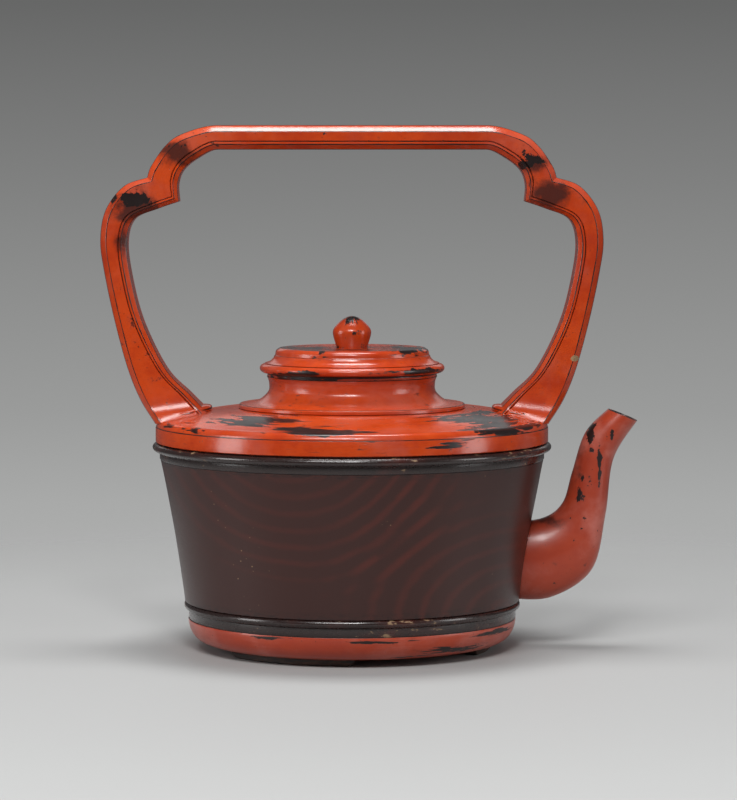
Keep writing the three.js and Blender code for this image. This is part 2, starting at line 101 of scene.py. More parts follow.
# %% [markdown]
# ## Shader maths
# A finish could be put together by hand in the shader editor, but it is easier to read as arithmetic
# than as a web of nodes. `Num` wraps a socket, and each operator adds the Math node that it stands
# for. `Nodes` makes any node in one way, in a material, in the backdrop and in the tree of the feet.


# %% Numbers that vary over a surface
class Num:
    """A number that varies over the surface."""

    def __init__(self, paint, socket):
        self.paint = paint
        self.socket = socket

    def math(self, operation, a, b=0.0):
        made = self.paint.node("ShaderNodeMath", {"operation": operation}, {0: a, 1: b})
        return Num(self.paint, made.outputs[0])

    def __add__(self, other):
        return self.math("ADD", self, other)

    def __mul__(self, other):
        return self.math("MULTIPLY", self, other)

    def __sub__(self, other):
        return self.math("SUBTRACT", self, other)

    def __rsub__(self, other):
        return self.math("SUBTRACT", other, self)

    __radd__ = __add__
    __rmul__ = __mul__

    def most(self, other):
        return self.math("MAXIMUM", self, other)

    def sine(self):
        return self.math("SINE", self)

    def step(self, low, high):
        """0 below low, 1 above high, and smooth between them."""
        smooth = {"interpolation_type": "SMOOTHSTEP"}
        made = self.paint.node("ShaderNodeMapRange", smooth, {0: self, 1: low, 2: high})
        return Num(self.paint, made.outputs[0])


print("methods of Num:", sorted(name for name in vars(Num) if callable(getattr(Num, name))))


# %% Any node tree
def set_stops(ramp, stops):
    """Gives a colour ramp its (position, grey) stops; the grey leans a hundredth to green."""
    while len(ramp.elements) < len(stops):
        ramp.elements.new(0.5)
    for element, (position, grey) in zip(ramp.elements, stops):
        element.position = position
        element.color = (grey, grey * 1.01, grey, 1)


class Nodes:
    """A node tree, with one method that makes any node."""

    def __init__(self, tree):
        self.tree = tree

    def feed(self, socket, value):
        """Links a socket to another one, or sets its value."""
        value = value.socket if isinstance(value, Num) else value
        if isinstance(value, bpy.types.NodeSocket):
            self.tree.links.new(value, socket)
        else:
            socket.default_value = value

    def node(self, kind, settings=None, inputs=None):
        made = self.tree.nodes.new(kind)
        for key, value in (settings or {}).items():
            if key == "stops":
                set_stops(made.color_ramp, value)
            else:
                setattr(made, key, value)
        for key, value in (inputs or {}).items():
            self.feed(made.inputs[key], value)
        return made


print("one method makes any node:", Nodes.node.__name__)

# %% [markdown]
# Turned lacquer shows the marks of the brush and the cloth as arcs about the axis. Plain noise lies
# in round blots, and an image wrapped round the piece would have a seam. So `turning` bends the
# noise instead: its coordinates change slowly round the axis and quickly across it.

# %% Materials
FLOW_ROUND = 0.055
FLOW_ACROSS = 5.0
FLOW_RADIUS_SHARE = 0.8


class Paint(Nodes):
    """A material made from Object coordinates."""

    def __init__(self, name):
        self.material = bpy.data.materials.new(name)
        self.material.use_nodes = True
        super().__init__(self.material.node_tree)
        self.shader = self.tree.nodes["Principled BSDF"]
        self.place = self.node("ShaderNodeTexCoord").outputs["Object"]

    def surface(self, values):
        """Feeds the shader's own sockets by name."""
        for name, value in values.items():
            self.feed(self.shader.inputs[name], value)

    def vector(self, operation, a, b=(0, 0, 0)):
        return self.node("ShaderNodeVectorMath", {"operation": operation}, {0: a, 1: b}).outputs

    def stretch(self, vector, factors):
        return self.vector("MULTIPLY", vector, factors)[0]

    def length(self, vector):
        return Num(self, self.vector("LENGTH", vector)["Value"])

    def noise(self, vector, scale, detail, roughness=0.55, distortion=0.0):
        inputs = {"Vector": vector, "Scale": scale, "Detail": detail, "Roughness": roughness}
        inputs["Distortion"] = distortion
        return Num(self, self.node("ShaderNodeTexNoise", {}, inputs).outputs[0])

    def attribute(self, name):
        return Num(self, self.node("ShaderNodeAttribute", {"attribute_name": name}).outputs["Fac"])

    def mix(self, factor, low, high):
        low = (*low, 1) if isinstance(low, tuple) else low
        high = (*high, 1) if isinstance(high, tuple) else high
        inputs = {0: factor, 6: low, 7: high}
        return self.node("ShaderNodeMix", {"data_type": "RGBA"}, inputs).outputs[2]

    def distance(self, centre, radii):
        """How far a point is from a centre, as a share of the radii along the three axes."""
        moved = self.vector("SUBTRACT", self.place, centre)[0]
        return self.length(self.stretch(moved, tuple(1 / r for r in radii)))

    def turning(self):
        """Coordinates that run round the axis slowly and across it quickly, for noise in arcs."""
        moved = self.vector("SUBTRACT", self.place, (AXIS_X, 0, 0))[0]
        flat = self.stretch(moved, (1, 1, 0))
        height = Num(self, self.node("ShaderNodeSeparateXYZ", {}, {0: moved}).outputs[2])
        across = (self.length(flat) * FLOW_RADIUS_SHARE + height) * FLOW_ACROSS
        up = self.node("ShaderNodeCombineXYZ", {}, {2: across}).outputs[0]
        unit = self.vector("NORMALIZE", flat)[0]
        return self.vector("ADD", self.stretch(unit, (FLOW_ROUND, FLOW_ROUND, 0)), up)[0]

    def bump(self, height, strength, depth):
        inputs = {"Strength": strength, "Distance": depth, "Height": height}
        self.surface({"Normal": self.node("ShaderNodeBump", {}, inputs).outputs[0]})


print("methods of Paint:", sorted(name for name in vars(Paint) if not name.startswith("_")))

# %% [markdown]
# ## Red lacquer
# The finish looks like vermilion lacquer brushed over black. Where hands and cloths rubbed it, the black
# shows again: as streaks along the turning marks, as lines on the edges, as pits, and as larger
# patches at known places. It could be painted by hand on each piece. One recipe does it here, from
# noises of several sizes, so that every piece wears in the same way. The edge lines come from a point
# attribute, which the maker of a piece sets on its edges. The same attribute paints black lines of
# shade under the lid's rim and in the groove of the handle.

# %% Colours of the red lacquer
ORANGE_RED = (0.56, 0.060, 0.005)
DEEP_RED = (0.36, 0.030, 0.006)
DULL_RED = (0.27, 0.040, 0.022)
RUBBED_ROSE = (0.42, 0.105, 0.075)
# Black under the red; also the colour of the painted shade lines under the lid's rim and in the handle's
# groove.
UNDERCOAT_AND_SHADE = (0.012, 0.0065, 0.006)
TAN = (0.30, 0.19, 0.10)


def spot(x, z, width, height, depth, y):
    """Centre and half sizes, in metres, of a worn place given in millimetres from the axis."""
    return (AXIS_X + x * MM, y * MM, z * MM), (width * MM, depth * MM, height * MM)


def lacquer_noises(paint, turned):
    """Cloud, mottle, streaks, hairs and pits, of which streaks and hairs follow the turning."""
    flow = paint.turning() if turned else paint.place
    return (
        paint.noise(paint.place, 13, 3),
        paint.noise(paint.place, 95, 6, 0.62),
        paint.noise(flow, 34 if turned else 60, 7, 0.66, 0.3),
        paint.noise(flow, 150, 4, 0.6),
        paint.noise(paint.place, 420, 3, 0.6),
    )


print("a worn place as centre and half sizes:", spot(82, 150, 34, 5, 45, -55))


# %% Where the black shows, and the tones of the red
def rubbed_through_and_shade(paint, noises, rubbed, spots, smudges):
    """1 where the undercoat shows or a black line of painted shade lies, 0 on whole red; spots are jagged and
    smudges are soft.
    """
    cloud, mottle, streaks, hairs, pits = noises
    under = (streaks * 0.8 + cloud * 0.28).step(rubbed, rubbed + 0.03)
    # The point attribute gives black lines on rubbed edges, and painted shade under the lid's rim and in the
    # handle's groove.
    under = under.most((paint.attribute("wear") * 0.7 + mottle * 0.5).step(0.66, 0.78))
    for centre, radii in spots:
        jagged = (streaks - 0.5) * 6.0 + (hairs - 0.5) * 2.5 + (mottle - 0.5)
        under = under.most((1 - paint.distance(centre, radii) + jagged).step(0.05, 0.2))
    under = under.most(pits.step(0.66, 0.72) * mottle.step(0.46, 0.58))
    under = under.most(hairs.step(0.63, 0.68) * cloud.step(0.46, 0.6) * 0.85)
    for centre, radii in smudges:
        soft = (mottle - 0.5) * 2.4 + (cloud - 0.5) * 1.5
        under = under.most(((1 - paint.distance(centre, radii)) * 1.2 + soft).step(0.0, 0.9) * 0.88)
    return under


def red_tones(paint, noises, dullness):
    """Orange over deep red, with dull and rosy places where the gloss was rubbed away."""
    cloud, mottle, streaks, hairs, _ = noises
    tone = (cloud * 0.6 + mottle * 0.4 + hairs * 0.2 - 0.05).step(0.40, 0.74)
    red = paint.mix(tone, DEEP_RED, ORANGE_RED)
    red = paint.mix((mottle + cloud - 0.5).step(0.5, 0.9) * 0.25 + dullness, red, DULL_RED)
    haze = paint.noise(paint.place, 21, 5, 0.6)
    rosy = (haze + streaks * 0.3).step(0.60, 0.85) * (dullness * 1.2 + 0.4)
    red = paint.mix(rosy, red, RUBBED_ROSE)
    return paint.mix(hairs.step(0.5, 0.72) * mottle.step(0.4, 0.6) * 0.5, red, DULL_RED)


def red_lacquer(name, turned, rubbed, spots=(), smudges=(), chips=(), dullness=0.0):
    paint = Paint(name)
    noises = lacquer_noises(paint, turned)
    _, mottle, streaks, hairs, pits = noises
    under = rubbed_through_and_shade(paint, noises, rubbed, spots, smudges)
    colour = paint.mix(under, red_tones(paint, noises, dullness), UNDERCOAT_AND_SHADE)
    for centre, radii in chips:
        chip = (1 - paint.distance(centre, radii) + (mottle - 0.5) * 2).step(0.1, 0.25)
        colour = paint.mix(chip, colour, TAN)
    paint.surface({
        "Base Color": colour,
        "Roughness": mottle * 0.16 + under * 0.1 + 0.12 + dullness * 0.25,
        "Specular IOR Level": 0.38,
        "Coat Weight": 0.12,
        "Coat Roughness": 0.12,
    })
    paint.bump(streaks * 0.5 + hairs * 0.3 + pits * 0.3 - under * 0.5, 0.28, 0.0004)
    return paint.material


print("recipes:", rubbed_through_and_shade.__name__, red_tones.__name__, red_lacquer.__name__)

# %% [markdown]
# The recipe is mixed once for each kind of piece. The worn places are read off the photograph in
# millimetres from the axis: smudges on the lobes, long streaks on the dome, a black cap on the knob.
# They could come from noise alone, but then they would lie elsewhere than on the real ewer. Base and
# spout are the dullest, as in the photograph.

# %% Red lacquers of the pieces
RED_HANDLE = red_lacquer("red_lacquer_handle", False, 0.77, spots=[
    spot(-144, 288, 12, 3.5, 20, -15), spot(116, 313, 7, 4, 20, -15), spot(-118, 322, 10, 2, 20, -15),
], smudges=[
    spot(-139, 283, 20, 13, 20, -15), spot(126, 290, 20, 15, 20, -15),
    spot(-112, 318, 14, 9, 20, -15), spot(118, 310, 12, 9, 20, -15), spot(-146, 262, 8, 14, 20, -15),
], chips=[spot(142, 187, 3.2, 2.2, 20, -15), spot(-97, 312, 2, 1, 20, -15)])
RED_DOME = red_lacquer("red_lacquer_dome", True, 0.735, spots=[
    spot(82, 150, 34, 5, 45, -55), spot(-62, 151, 26, 3, 25, -70), spot(-20, 148, 30, 2, 18, -110),
    spot(61, 138, 15, 4, 40, -105), spot(-105, 146, 18, 2.5, 40, -60),
])
RED_NECK = red_lacquer("red_lacquer_neck", True, 0.765, dullness=0.12)
RED_LID = red_lacquer("red_lacquer_lid", True, 0.71, spots=[
    spot(-34, 193, 22, 3, 30, -8), spot(37, 193, 22, 3, 30, -8), spot(0, 193, 17, 3, 9, -26),
    spot(44, 180, 22, 1.6, 40, -40), spot(-32, 177, 20, 2.4, 40, -40),
    spot(3, 213, 8, 3, 14, 0), spot(2, 203, 3, 1.2, 6, -10),
])
RED_BASE = red_lacquer("red_lacquer_base", True, 0.755, spots=[
    spot(58, 9, 30, 2.5, 60, -80), spot(82, 17, 18, 1.5, 60, -60),
    spot(-52, 18, 12, 1.2, 40, -85), spot(20, 17, 22, 1.2, 40, -85),
], dullness=0.5)
RED_SPOUT = red_lacquer("red_lacquer_spout", False, 0.765, spots=[
    spot(152, 134, 2.4, 20, 20, -4), spot(166, 137, 1.6, 9, 8, -12),
    spot(147, 96, 2.2, 14, 10, -6), spot(158, 120, 1.2, 12, 8, -12),
], smudges=[spot(146, 108, 6, 34, 12, -3), spot(128, 82, 18, 6, 14, -3)], dullness=0.6)
print("red lacquers:", sum(m.name.startswith("red_lacquer_") for m in bpy.data.materials))

# %% [markdown]
# ## Black lacquer of the hoops
# The hoops are black lacquer with small tan chips. The chips could be painted on an image, but a
# noise with a sharp step scatters them over both hoops without one.

# %% Hoops
BLACK = (0.016, 0.007, 0.006)
GRAIN_RED = (0.13, 0.018, 0.010)


def hoop_lacquer():
    paint = Paint("black_lacquer_hoop")
    cloud = paint.noise(paint.place, 24, 4)
    fine = paint.noise(paint.stretch(paint.place, (1, 1, 3)), 130, 5, 0.65)
    chips = (fine * 0.8 + cloud * 0.45).step(0.75, 0.775) * 0.7
    colour = paint.mix(cloud.step(0.5, 0.75) * 0.5, BLACK, GRAIN_RED)
    paint.surface({
        "Base Color": paint.mix(chips, colour, TAN),
        "Roughness": chips * 0.4 + fine * 0.16 + 0.2,
        "Coat Weight": 0.3,
    })
    paint.bump(fine - chips * 0.8, 0.25, 0.0004)
    return paint.material


HOOP = hoop_lacquer()
print("made", HOOP.name)

# %% [markdown]
# ## Dark wood of the wall
# The wall is wood under a dark transparent coat: its grain glows red in broad arcs, with a few golden
# flecks. A Wave texture could draw rings too. Here the sine of the distance from two centres draws
# them, so that each set can be stretched and faded by itself.

# %% Wall
DARK_BROWN = (0.036, 0.0105, 0.008)


def grain_arcs(paint, centre, radii, count, fade):
    """Rings of grain about a centre, bent by slow noise, that fade out between two distances."""
    warp = paint.noise(paint.place, 7, 2, 0.4)
    fine = paint.noise(paint.stretch(paint.place, (1, 1, 2)), 60, 4, 0.6)
    away = paint.distance(centre, radii)
    return ((away * count + warp * 14 + fine * 2).sine() * 0.5 + 0.5) * (1 - away.step(*fade))


def gold_flecks(paint):
    """A few golden flecks, in small groups."""
    cells = paint.node("ShaderNodeTexVoronoi", {}, {"Vector": paint.place, "Scale": 260.0})
    near = 1 - Num(paint, cells.outputs["Distance"])
    return near.step(0.86, 0.93) * paint.noise(paint.place, 19, 4, 0.7).step(0.60, 0.66) * 0.8


def dark_wood():
    paint = Paint("clear_wood_wall")
    left = (AXIS_X - 35 * MM, -110 * MM, 175 * MM)
    right = (AXIS_X + 95 * MM, -90 * MM, 30 * MM)
    arcs = grain_arcs(paint, left, (0.095, 0.5, 0.10), 58, (1.0, 1.5))
    bands = grain_arcs(paint, right, (0.10, 0.5, 0.075), 44, (0.7, 1.4))
    cloud = paint.noise(paint.place, 7, 3)
    fine = paint.noise(paint.stretch(paint.place, (1, 1, 2)), 60, 4, 0.6)
    pores = paint.noise(paint.stretch(paint.place, (1, 1, 4)), 190, 4, 0.7)
    strength = (cloud.step(0.3, 0.7) * 0.5 + 0.15) * (fine * 0.8 + 0.4)
    grain = (arcs * 0.7 + bands * 0.6).step(0.25, 1.0) * strength
    wood = paint.mix(grain, DARK_BROWN, GRAIN_RED)
    wood = paint.mix(paint.attribute("wear") * pores.step(0.45, 0.6) * 0.8, wood, UNDERCOAT_AND_SHADE)
    paint.surface({
        "Base Color": paint.mix(gold_flecks(paint), wood, TAN),
        "Roughness": pores * 0.14 + cloud * 0.14 + 0.2,
        "Specular IOR Level": 0.4,
    })
    paint.bump(pores, 0.12, 0.0003)
    return paint.material


WALL = dark_wood()
print("made", WALL.name)

# %% [markdown]
# ## Worn wood of the feet
# The feet are brown wood with remains of lacquer. They hardly show, so noise that is stretched into
# grain is enough, where a larger piece would need a grain with a direction of its own.

# %% Feet
FOOT_BROWN = (0.075, 0.034, 0.020)


def worn_wood():
    paint = Paint("worn_wood_foot")
    grain = paint.noise(paint.stretch(paint.place, (1, 1, 6)), 70, 6, 0.7)
    colour = paint.mix(grain.step(0.4, 0.65), UNDERCOAT_AND_SHADE, FOOT_BROWN)
    paint.surface({
        "Base Color": paint.mix(grain.step(0.6, 0.7) * 0.6, colour, DULL_RED),
        "Roughness": grain * 0.4 + 0.4,
    })
    paint.bump(grain, 0.5, 0.0008)
    return paint.material


FOOT = worn_wood()
print("made", FOOT.name)

# %% [markdown]
# ## Helpers for every piece
# A finished piece rides on a body of the CAD model, has a material slot, and stands for one or more
# CAD nodes. It could be placed by its location, but the export puts every object at the origin, so
# its place is in its mesh. Smooth outlines run through a few points in millimetres, because few
# points are easier to check against the photograph than many.

# %% Finishing a piece
SHARP_ANGLE = math.radians(38)


def add_piece(name, body, slot, material, mesh, *nodes):
    """Finishes a mesh as a piece that rides on a body and stands for CAD nodes."""
    mesh.materials.append(material)
    for face in mesh.polygons:
        face.use_smooth = True
    mesh.set_sharp_from_angle(angle=SHARP_ANGLE)
    piece = bpy.data.objects.new(name, mesh)
    bpy.context.scene.collection.objects.link(piece)
    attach(piece, body)
    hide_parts(*nodes)
    print(name, len(mesh.polygons), "faces")


def add_red(name, material, mesh, *nodes, body="ewer"):
    add_piece(name, body, "red_lacquer", material, mesh, *nodes)


def set_wear_and_shade(mesh, values):
    layer = mesh.attributes.new("wear", "FLOAT", "POINT")
    layer.data.foreach_set("value", values)


print("edges sharper than", round(math.degrees(SHARP_ANGLE)), "degrees stay crisp")


# %% Outlines
def bow(points, count, lead=None):
    """A smooth run through a few outline points; lead is the point that the run comes from."""
    made = []
    ends = [lead or points[0], *points, points[-1]]
    spans = len(points) - 1
    for i in range(count + 1):
        along = spans * i / count
        k = min(int(along), spans - 1)
        t = along - k
        a, b, c, d = ends[k:k + 4]
        made.append(tuple(
            0.5 * (2 * b[n] + (c[n] - a[n]) * t + (2 * a[n] - 5 * b[n] + 4 * c[n] - d[n]) * t * t
                   + (3 * b[n] - a[n] - 3 * c[n] + d[n]) * t ** 3)
            for n in range(2)
        ))
    return made


def half_round(radius, proud, low, high, count=10):
    """A half-round moulding that stands proud of a radius between two heights."""
    middle, half = (low + high) / 2, (high - low) / 2
    turns = [math.pi * i / count for i in range(count + 1)]
    return [(radius + proud * math.sin(turn), middle - half * math.cos(turn)) for turn in turns]


def ring_size(node):
    """Outer radius, bottom and top of a turned CAD node, in millimetres."""
    low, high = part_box(node)
    return (high.y - low.y) / 2 / MM, low.z / MM, high.z / MM


print("bow through 3 points:", len(bow([(0, 0), (1, 1), (2, 0)], 8)), "points")


# %% Tubes
def tube_faces(rings, size):
    """Both end caps of a closed tube, and quads between its neighbouring rings of points."""
    last = (rings - 1) * size
    faces = [list(range(size)), list(range(last, last + size))]
    for start in range(0, last, size):
        for i in range(size):
            k = (i + 1) % size
            faces.append([start + i, start + k, start + size + k, start + size + i])
    return faces


def tube_mesh(name, points, rings, wear=None):
    """A closed tube through rings of points, with its faces turned outwards."""
    mesh = bpy.data.meshes.new(name)
    mesh.from_pydata(points, [], tube_faces(rings, len(points) // rings))
    if wear:
        set_wear_and_shade(mesh, wear)
    work = bmesh.new()
    work.from_mesh(mesh)
    bmesh.ops.recalc_face_normals(work, faces=work.faces)
    work.to_mesh(mesh)
    work.free()
    return mesh


print("a tube of 3 rings of 4 points:", len(tube_faces(3, 4)), "faces")

# %% [markdown]
# ## Turned pieces
# Base, wall, hoops, shoulder, neck, lid and knob are round, as if turned on a lathe. A Screw modifier
# could turn their outlines. Python spins them here, because then a ring can wobble a little and a
# pole closes in one point. A point may carry a third value: 1 on an edge that is rubbed through, and
# 1 also on the underside of the lid's rim, where it paints a black band of shade. The wobble of a fifth
# of a millimetre keeps the reflections from looking machined.

# %% The lathe
TURN_SIDES = 192
WOBBLE = 0.22 * MM
WOBBLE_ROUND = 1.5
WOBBLE_UP = 40
NO_WOBBLE_R = 0.01


def turned_mesh(name, outline):
    """Spins a closed outline of (radius, height[, rubbed edge or painted shade]), outer side rising, about
    the axis.
    """
    points = [(p[0] * MM, p[1] * MM, p[2] if len(p) > 2 else 0.0) for p in outline]
    seed = sum(map(ord, name))
    verts, wear, rings = [], [], []
    for r, z, worn in points:
        sides = 1 if r == 0 else TURN_SIDES
        rings.append(range(len(verts), len(verts) + sides))
        for i in range(sides):
            angle = 2 * math.pi * i / TURN_SIDES
            c, s = math.cos(angle), math.sin(angle)
            swell = noise.noise(Vector((c * WOBBLE_ROUND, s * WOBBLE_ROUND, z * WOBBLE_UP + seed)))
            wide = max(r + WOBBLE * swell * (r > NO_WOBBLE_R), 0)
            verts.append((AXIS_X + wide * c, wide * s, z))
            wear.append(worn)
    mesh = bpy.data.meshes.new(name)
    mesh.from_pydata(verts, [], turned_faces(rings))
    set_wear_and_shade(mesh, wear)
    return mesh


def turned_faces(rings):
    """Quads between neighbouring rings, triangles at a pole; a ring-shaped piece closes on itself."""
    faces = []
    pairs = list(zip(rings, rings[1:]))
    if len(rings[0]) > 1:
        pairs.append((rings[-1], rings[0]))
    for low, high in pairs:
        for i in range(TURN_SIDES):
            k = (i + 1) % TURN_SIDES
            corners = [low[i % len(low)], low[k % len(low)], high[k % len(high)], high[i % len(high)]]
            unique = list(dict.fromkeys(corners))
            if len(unique) > 2:
                faces.append(unique)
    return faces


print("the lathe makes", TURN_SIDES, "sides")

# %% [markdown]
# ## Base
# The base is a shallow bowl, and its raised middle is the vessel's floor. It could be cut from a
# sphere, but its foot and its rim have flat, worn edges, so its outline is drawn and turned.

# %% Base
base_r, base_z, floor_z = ring_size("base")
lower_r, lower_z, lower_top = ring_size("lower_hoop")
wall_r, wall_z, wall_top = ring_size("body_wall")
upper_r, upper_z, upper_top = ring_size("upper_hoop")
EDGE_IN = 0.6
BOWL_STEPS = 12
BOWL_FLARE = 0.119


def make_base():
    bowl = []
    for i in range(BOWL_STEPS + 1):
        turn = math.pi / 2 * i / BOWL_STEPS
        r = base_r * (1 - BOWL_FLARE + BOWL_FLARE * math.sin(turn))
        bowl.append((r, base_z + (wall_z - base_z) * (1 - math.cos(turn))))
    foot_edge = [(bowl[0][0] - EDGE_IN * 2, base_z), (*bowl[0], 0.8)]
    rim = [(base_r, wall_z - EDGE_IN), (base_r - 0.2, wall_z, 0.9)]
    inside = [(base_r - 6.8, wall_z), (base_r - 7, floor_z), (base_r - 30, floor_z)]
    outline = [(0, base_z), (base_r * 0.5, base_z), *foot_edge, *bowl[1:-1], *rim, *inside, (0, floor_z)]
    add_red("base_bowl", RED_BASE, turned_mesh("base_bowl", outline), "base")


make_base()

# %% [markdown]
# ## Wall
# The wall stands on the base and flares towards the shoulder, a little faster near its top. A cone
# would come close, but a bow through three points gives it that slight curve. A rebate at each end
# takes a hoop.

# %% Wall between the hoops
REBATE = 3.9
WALL_THICKNESS = 5
WALL_FOOT_R = lower_r - 0.7
WALL_SWELL = 7.1


def make_wall():
    middle_z = (lower_top + upper_z) / 2
    back_r = wall_r - REBATE
    face = bow([
        (WALL_FOOT_R, lower_top + 0.2), (WALL_FOOT_R + WALL_SWELL, middle_z + 2), (wall_r, upper_z),
    ], 24)
    outline = [
        (base_r - 6.3, wall_z), (WALL_FOOT_R - REBATE, wall_z),
        (WALL_FOOT_R - REBATE, lower_top), (WALL_FOOT_R, lower_top, 1),
        (*face[1], 0.6), *face[2:-2], (*face[-2], 0.6),
        (wall_r, upper_z - 0.3, 1), (back_r, upper_z - 0.3), (back_r, wall_top),
        (back_r - WALL_THICKNESS, wall_top), (back_r - WALL_THICKNESS, upper_z + 4),
        (WALL_FOOT_R + 1.6, middle_z),
    ]
    mesh = turned_mesh("hooped_wall", outline)
    add_piece("hooped_wall", "ewer", "clear_wood", WALL, mesh, "body_wall")


make_wall()

# %% [markdown]
# ## Hoops
# Each hoop is a flat band with a half-round bead above it. A torus over a flat ring could make it, but
# one turned outline keeps the edge between band and bead crisp. The back of the lower hoop reaches
# about two millimetres into the wall, where nothing shows it.

# %% Hoops round the wall
HOOP_THICKNESS = 3.4


def make_hoop(name, node, size, proud, band_height):
    radius, low, high = size
    band = radius - proud
    outline = [
        (band - HOOP_THICKNESS, low), (band - 0.3, low, 1), (band, low + 0.5),
        (band, low + band_height - 0.4), *half_round(band, proud, low + band_height, high - 0.1)[1:-1],
        (band, high), (band - HOOP_THICKNESS, high),
    ]
    add_piece(name, "ewer", "black_lacquer", HOOP, turned_mesh(name, outline), node)


make_hoop("hoop_lower", "lower_hoop", (lower_r, lower_z, lower_top), 2.9, 5.8)
make_hoop("hoop_upper", "upper_hoop", (upper_r, upper_z, upper_top), 4.6, 4.7)

# %% [markdown]
# ## Shoulder
# The shoulder board has a plain upright band, a soft nosing and a low dome. A Bevel modifier could
# round the nosing, but the worn lines below and above it have places of their own, so it is drawn in
# the outline. The dome's height is a function, because the pads need it too.

# %% Shoulder
board_r, board_z, dome_z = ring_size("shoulder_board")
flange_r, collar_z, neck_top = ring_size("neck_collar")
lid_r, lid_z, lid_top = ring_size("lid")
SIDE_BAND = 10
NOSING = 4.4
NECK_R = 53.1
DOME_EDGE_R = board_r - 5.5
DOME_RUN = board_r - flange_r - 4
DOME_STEPS = 18
BOARD_THICKNESS = 11


def dome_height(radius):
    """The height of the dome at a radius, in millimetres."""
    nosing_top = upper_top + SIDE_BAND + NOSING
    share = min(max((DOME_EDGE_R - radius) / DOME_RUN, 0), 1)
    return nosing_top + (dome_z - nosing_top) * math.sin(math.pi / 2 * share)


def make_shoulder():
    rim_z = upper_top + SIDE_BAND
    nosing = [(board_r, rim_z - 0.7), (board_r - 0.3, rim_z, 1), (board_r - 0.4, rim_z + 0.6, 0.4)]
    nosing += bow([
        (board_r - 0.6, rim_z + 1.4), (board_r - 1.9, rim_z + 3.4), (board_r - 4.3, rim_z + NOSING),
    ], 8)
    nosing.append((board_r - 4.9, rim_z + NOSING - 0.1, 1))
    radii = [DOME_EDGE_R - DOME_RUN * i / DOME_STEPS for i in range(DOME_STEPS + 1)]
    outline = [
        (NECK_R - 2.8, dome_z - BOARD_THICKNESS), (board_r - 18, upper_top), (board_r - 18, board_z),
        (board_r - 12.1, board_z), (board_r - 12.1, upper_top + 0.05),
        (board_r - 0.8, upper_top + 0.05, 1), (board_r, upper_top + 0.8), *nosing,
        *[(r, dome_height(r)) for r in radii], (NECK_R - 2.8, dome_z),
    ]
    add_red("shoulder_dome", RED_DOME, turned_mesh("shoulder_dome", outline), "shoulder_board")


make_shoulder()

# %% [markdown]
# ## Neck
# The collar's wide flange lies on the dome and sweeps up into the neck. A disc and a tube could stand
# for it, but there is no corner between them, so a bow runs through both.

# %% Neck
BORE_R = 44
FLANGE_THICKNESS = 3


def make_neck():
    flange_top = dome_z + FLANGE_THICKNESS
    sweep = bow([
        (flange_r - 1.6, flange_top), (flange_r - 9, flange_top + 0.9), (NECK_R + 5, flange_top + 3.2),
        (NECK_R + 0.4, flange_top + 8), (NECK_R, flange_top + 13), (NECK_R + 0.8, neck_top - 1.2),
    ], 24)
    outline = [
        (BORE_R, collar_z), (NECK_R - 3.1, collar_z), (NECK_R - 3.1, dome_z),
        (flange_r - 0.6, dome_z, 1), (flange_r, dome_z + 0.6),
        (flange_r, flange_top - 0.8), (flange_r - 0.6, flange_top - 0.1, 1), *sweep,
        (NECK_R + 1.4, neck_top, 1), (BORE_R + 0.6, neck_top), (BORE_R, neck_top - 0.6),
    ]
    mesh = turned_mesh("neck_flange_collar", outline)
    add_red("neck_flange_collar", RED_NECK, mesh, "neck_collar")


make_neck()

# %% [markdown]
# ## Lid and knob
# The lid has a half-round rim, a cove above it and a flat top, and its skirt drops into the neck. The
# knob is a rounded jewel on a tenon. Both could be one mesh, but the CAD model has two nodes for them,
# so they are two pieces. They ride on the lid's body and lift together.

# %% Lid
LID_CLEARANCE = 0.7
SKIRT_THICKNESS = 6
LID_TOP_THICKNESS = 7
RIM_PROUD = 3.8
PAINTED_SHADE_RIM_POINTS = 4


def make_lid():
    skirt = BORE_R - LID_CLEARANCE
    inner = skirt - SKIRT_THICKNESS
    rise = lid_top - neck_top
    band = neck_top + rise * 0.12
    rim = neck_top + rise * 0.45
    bead = half_round(lid_r - RIM_PROUD, RIM_PROUD, band, rim, 14)
    # The lower points of the rim's bead carry 1, as does the point below the bead in the outline: together
    # they paint a black band of shade under the rim.
    bead = [(r, z, float(i < PAINTED_SHADE_RIM_POINTS)) for i, (r, z) in enumerate(bead)]
    cove = bow([
        (lid_r - 3.4, rim + 0.4), (lid_r - 6.4, rim + 1.4), (lid_r - 8.6, rim + 3.4), (lid_r - 9.3, rim + 5),
    ], 8)
    step = bow([(lid_r - 9.9, rim + 5.6), (lid_r - 10.4, lid_top - 1.6), (lid_r - 12.6, lid_top)], 7)
    outline = [
        (0, lid_top - LID_TOP_THICKNESS), (inner, lid_top - LID_TOP_THICKNESS),
        (inner, lid_z + 0.6), (inner + 0.6, lid_z), (skirt - 0.6, lid_z), (skirt, lid_z + 0.6),
        (skirt, neck_top + 0.05), (lid_r - 5, neck_top + 0.05), (lid_r - 4.8, band - 0.2, 1),
        *bead[1:-1], (*bead[-1][:2], 1), *cove, (lid_r - 9.5, rim + 5.3, 1), *step,
        (lid_r - 13.2, lid_top, 0.8), (lid_r - 15, lid_top), (20, lid_top), (0, lid_top),
    ]
    add_red("lid_disc", RED_LID, turned_mesh("lid_disc", outline), "lid", body="lid")


make_lid()

# %% Knob
TENON_R = 4
TENON_DEPTH = 6
JEWEL = [(0.80, 0), (0.86, 0.12), (1, 0.44), (0.93, 0.62), (0.60, 0.84), (0.26, 0.965), (0, 1)]


